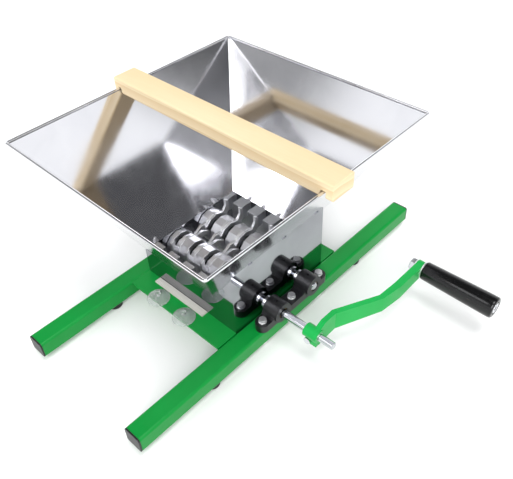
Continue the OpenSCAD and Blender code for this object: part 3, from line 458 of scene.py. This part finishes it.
# Half the section, each point a distance from the arm's end and a radius: out from the bore,
# along the skin, round the free end and down the socket for the bolt's head.
outline = [(0, bore_r), (0, small_r - 1.2 * MM), (0.4 * MM, small_r - 0.35 * MM),
           (1.4 * MM, small_r),
           (middle * grip_len, small_r + swell_share * (end_r - small_r)),
           (full * grip_len, end_r), (grip_len - 3.4 * MM, end_r),
           (grip_len - 1.5 * MM, end_r - 0.5 * MM), (grip_len - 0.4 * MM, end_r - 1.5 * MM),
           (grip_len, end_r - 2.9 * MM), (grip_len, socket_r + 0.7 * MM),
           (grip_len - 0.6 * MM, socket_r), (grip_len - socket_deep, socket_r),
           (grip_len - socket_deep, bore_r)]
verts = [bm.verts.new((grip_low.x + x, grip_y, grip_z + r)) for x, r in outline]
wire = [bm.edges.new(pair) for pair in zip(verts, verts[1:] + verts[:1])]
bmesh.ops.spin(bm, geom=verts + wire, cent=(0, grip_y, grip_z), axis=(1, 0, 0),
               angle=2 * math.pi, steps=grip_steps, use_merge=True)
bmesh.ops.remove_doubles(bm, verts=bm.verts, dist=seam_mm * MM)
bmesh.ops.recalc_face_normals(bm, faces=bm.faces)
mesh_piece("turned_grip", bm, grip_phenolic, "crank_grip", smooth_deg=40)

# Wooden crossbar
# A planed softwood batten lies across the hopper, notched over the rim at both ends. Its edges
# are sanded round, and the pale grain runs along it.


def planed_spruce():
    """Planed spruce: wide pale growth rings seen lengthwise, fine fibres and a dry sheen."""
    sway_mm, ring_mm, fibre_mm, fibre_deep_mm = 60, 6, 0.9, 0.05
    # The wave node makes one ring in 1 / 6.3 of a unit. The tree's heart is far below the
    # batten, so the rings cross it as nearly flat layers.
    waves_in_unit, heart, sway_yz = 6.3, (0, 0.02, 0.16), (0, 0.012, 0.012)
    material, tree, shader, place = finish_of("planed_spruce", **{"Specular IOR Level": 0.35})
    slow = add(tree, "Mapping", {"Vector": place, "Scale": (0.2, 1, 1)}).outputs[0]
    sway = add(tree, "TexNoise", {"Vector": slow, "Scale": 1 / (sway_mm * MM),
                                  "Detail": 1.0}).outputs["Color"]
    pull = add(tree, "VectorMath", {0: sway, 1: sway_yz}, operation="MULTIPLY").outputs[0]
    run = add(tree, "Mapping", {"Vector": place, "Location": heart,
                                "Scale": (0.02, 1, 1)}).outputs[0]
    bent = add(tree, "VectorMath", {0: run, 1: pull}, operation="ADD").outputs[0]
    rings = add(tree, "TexWave", {"Vector": bent, "Scale": 1 / (ring_mm * MM) / waves_in_unit,
                                  "Distortion": 0.6, "Detail": 1.0}, wave_type="RINGS",
                rings_direction="X", wave_profile="SAW").outputs["Fac"]
    along = add(tree, "Mapping", {"Vector": place, "Scale": (0.03, 1, 1)}).outputs[0]
    fibres = add(tree, "TexNoise", {"Vector": along, "Scale": 1 / (fibre_mm * MM),
                                    "Detail": 4.0, "Roughness": 0.7}).outputs["Fac"]
    wood = add(tree, "Mix", {0: rings, 6: linear("#f2e2c2"), 7: linear("#e4cda4")},
               data_type="RGBA").outputs[2]
    grain = add(tree, "Mix", {0: fibres, 6: linear("#ecd6b0"), 7: linear("#ffffff")},
                data_type="RGBA").outputs[2]
    colour = add(tree, "Mix", {0: 0.5, 6: wood, 7: grain}, data_type="RGBA",
                 blend_type="MULTIPLY").outputs[2]
    gloss = add(tree, "MapRange", {"Value": fibres, "To Min": 0.45, "To Max": 0.68}).outputs[0]
    skin = add(tree, "Bump", {"Height": fibres, "Distance": fibre_deep_mm * MM,
                              "Strength": 0.35}).outputs[0]
    return joined(material, shader, colour, gloss, skin)


eased("wooden_crossbar", planed_spruce(), width_mm=0.8, segments=3)

# Clear strip
# An extruded strip of soft clear vinyl with ribs along it lies on the front plate beside the
# box. It is greyish and clouded.


def clear_vinyl(name, low, high, roughness, clearness, streak=(1, 1, 1)):
    """Soft clear vinyl: glossy, faintly grey, and clouded in random patches."""
    cloud_mm, cloud_deep_mm, glossier, duller = 4, 0.06, 0.03, 0.05
    material, tree, shader, place = finish_of(name, **{"Transmission Weight": clearness,
                                                       "IOR": 1.45})
    drawn = add(tree, "Mapping", {"Vector": place, "Scale": streak}).outputs[0]
    cloud = add(tree, "TexNoise", {"Vector": drawn, "Scale": 1 / (cloud_mm * MM)}).outputs["Fac"]
    tint = add(tree, "Mix", {0: cloud, 6: linear(low), 7: linear(high)},
               data_type="RGBA").outputs[2]
    gloss = add(tree, "MapRange", {"Value": cloud, "To Min": roughness - glossier,
                                   "To Max": roughness + duller}).outputs[0]
    skin = add(tree, "Bump", {"Height": cloud, "Distance": cloud_deep_mm * MM,
                              "Strength": 0.4}).outputs[0]
    return joined(material, shader, tint, gloss, skin)


strip_vinyl = clear_vinyl("extruded_clear_vinyl", "#c2c0b8", "#dedcd6", roughness=0.2,
                          clearness=0.15, streak=(0.05, 1, 1))
eased("clear_strip", strip_vinyl, width_mm=0.25)

# Clear suction cups
# Two moulded cups of soft clear vinyl lie on the plate's edge. Each has a thin dished skirt with
# a rolled lip and a waisted knob with a blind hole.
cup_vinyl = clear_vinyl("moulded_clear_vinyl", "#dfe6e3", "#f6f8f7", roughness=0.07,
                        clearness=0.8)
cup_low, cup_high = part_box("clear_suction_cups")
cup_r, cup_y = (cup_high.y - cup_low.y) / 2, (cup_low.y + cup_high.y) / 2
cup_top = cup_high.z - cup_low.z
skirt_t, knob_h, knob_r, waist_r, hole_r = 1.5 * MM, 5 * MM, 4.5 * MM, 2.9 * MM, 1.8 * MM
dome = cup_top - knob_h
cup_steps, seam_mm = 64, 0.02
# Half the section, each point a radius and a height: out below the skirt, round the lip, back
# over the dome, up the waist and knob, and down to the bottom of the hole.
outline = [(0, dome - skirt_t), (0.5 * cup_r, 0.66 * dome - skirt_t), (0.86 * cup_r, 0.8 * MM),
           (0.93 * cup_r, 0), (0.98 * cup_r, 0.1 * MM), (cup_r, 0.8 * MM),
           (0.98 * cup_r, 1.5 * MM), (0.9 * cup_r, 1.9 * MM), (0.72 * cup_r, 0.5 * dome),
           (0.5 * cup_r, 0.78 * dome), (1.15 * waist_r, 0.97 * dome),
           (waist_r, dome + 0.25 * knob_h), (knob_r, dome + 0.55 * knob_h),
           (knob_r, cup_top - 0.7 * MM), (knob_r - 0.7 * MM, cup_top),
           (hole_r + 0.5 * MM, cup_top), (hole_r, cup_top - 0.5 * MM),
           (hole_r, dome + 0.5 * MM), (0, dome + 0.5 * MM)]
bm = bmesh.new()
for cup_x in (cup_low.x + cup_r, cup_high.x - cup_r):
    verts = [bm.verts.new((cup_x + r, cup_y, cup_low.z + z)) for r, z in outline]
    wire = [bm.edges.new(pair) for pair in zip(verts, verts[1:])]
    bmesh.ops.spin(bm, geom=verts + wire, cent=(cup_x, cup_y, 0), axis=(0, 0, 1),
                   angle=2 * math.pi, steps=cup_steps, use_merge=True)
bmesh.ops.remove_doubles(bm, verts=bm.verts, dist=seam_mm * MM)
bmesh.ops.recalc_face_normals(bm, faces=bm.faces)
mesh_piece("moulded_suction_cups", bm, cup_vinyl, "clear_suction_cups")

# Studio
# A plain white paper floor, two broad soft lights that light all of it evenly, a bright horizon
# below a dark ceiling, and the camera that was solved from the photograph.
floor_half_m, paper_cloud_mm = 6.0, 400
bm = bmesh.new()
bmesh.ops.create_grid(bm, x_segments=1, y_segments=1, size=floor_half_m)
floor_mesh = bpy.data.meshes.new("floor")
bm.to_mesh(floor_mesh)
bm.free()
floor = bpy.data.objects.new("floor", floor_mesh)
bpy.context.scene.collection.objects.link(floor)
paper, tree, shader, place = finish_of("white_paper", **{"Roughness": 0.9,
                                                         "Specular IOR Level": 0.2})
cloud = add(tree, "TexNoise", {"Vector": place, "Scale": 1 / (paper_cloud_mm * MM)}).outputs["Fac"]
tint = add(tree, "Mix", {0: cloud, 6: linear("#f3f3f3"), 7: linear("#f8f8f7")},
           data_type="RGBA").outputs[2]
tree.links.new(tint, shader["Base Color"])
set_finish(floor, paper)

# The glow fades from the horizon's to the ceiling's between two heights, given as the sine of
# the angle above the ground.
horizon_top, ceiling_edge, horizon_glow, ceiling_glow = 0.36, 0.68, 1.3, 0.14
# Two dark cards stand at the front left and the back right, where the rear and left panels
# reflect them. Two bright ones hang at the back left, for the tops of the bolts and combs, and
# at the front left, for the long highlights of the shaft and the grip. Each card has the
# direction towards it, the cosines where its fringe begins and ends, and its factor on the glow.
cards = (((-0.754, -0.583, 0.302), 0.93, 0.97, 0.35),
         ((0.694, 0.625, 0.357), 0.972, 0.995, 0.12),
         ((-0.551, 0.561, 0.619), 0.945, 0.975, 4.0),
         ((-0.33, -0.6, 0.73), 0.982, 0.99, 28.0))
world = bpy.data.worlds.new("studio")
world.use_nodes = True
tree = world.node_tree
tree.nodes.clear()
toward = add(tree, "TexCoord").outputs["Generated"]
rise = add(tree, "SeparateXYZ", {0: toward}).outputs["Z"]
glow = add(tree, "MapRange", {"Value": rise, "From Min": horizon_top, "From Max": ceiling_edge,
                              "To Min": horizon_glow, "To Max": ceiling_glow},
           interpolation_type="SMOOTHSTEP").outputs[0]
for direction, fringe_cos, full_cos, share in cards:
    facing = add(tree, "VectorMath", {0: toward, 1: direction},
                 operation="DOT_PRODUCT").outputs["Value"]
    shade = add(tree, "MapRange", {"Value": facing, "From Min": fringe_cos,
                                   "From Max": full_cos, "To Min": 1.0, "To Max": share},
                interpolation_type="SMOOTHSTEP").outputs[0]
    glow = add(tree, "Math", {0: glow, 1: shade}, operation="MULTIPLY").outputs[0]
# The camera itself sees a plain white backdrop; the cards show in reflections only.
seen = add(tree, "LightPath").outputs["Is Camera Ray"]
backdrop = add(tree, "Mix", {0: seen, 2: glow, 3: 1.0}, data_type="FLOAT").outputs[0]
sky = add(tree, "Background", {"Color": linear("#f6f7f9"), "Strength": backdrop}).outputs[0]
add(tree, "OutputWorld", {"Surface": sky})
bpy.context.scene.world = world
bpy.context.scene.view_settings.view_transform = "Standard"

# Each lamp shines from a point towards the machine, with a wide spread for soft shadows.
lamps = (("key", (1.3, -1.6, 1.8), 36, 2.1), ("top", (0.5, 0.1, 2.5), 26, 1.35))
for name, source, spread_deg, strength in lamps:
    lamp = bpy.data.lights.new(name, "SUN")
    lamp.angle, lamp.energy = math.radians(spread_deg), strength
    light = bpy.data.objects.new(name, lamp)
    light.location = source
    light.rotation_euler = (-Vector(source)).to_track_quat("-Z", "Y").to_euler()
    bpy.context.scene.collection.objects.link(light)

turn_deg, tilt_deg, roll_deg, focal_px, photo_px = 45.108, 42.391, -2.870, 619.911, 513
camera_place, sensor_mm = (0.42997, -0.44883, 0.69910), 36
turn, tilt, roll = (math.radians(v) for v in (turn_deg, tilt_deg, roll_deg))
ahead = Vector((-math.sin(turn) * math.cos(tilt), math.cos(turn) * math.cos(tilt),
                -math.sin(tilt)))
level = Vector((math.cos(turn), math.sin(turn), 0))
upright = level.cross(ahead)
right = math.cos(roll) * level + math.sin(roll) * upright
up = -math.sin(roll) * level + math.cos(roll) * upright
lens = bpy.data.cameras.new("camera")
lens.sensor_width = sensor_mm
lens.lens = focal_px / photo_px * sensor_mm
camera = bpy.data.objects.new("camera", lens)
camera.matrix_world = Matrix.Translation(camera_place) @ Matrix(
    (right, up, -ahead)).transposed().to_4x4()
bpy.context.scene.collection.objects.link(camera)
bpy.context.scene.camera = camera
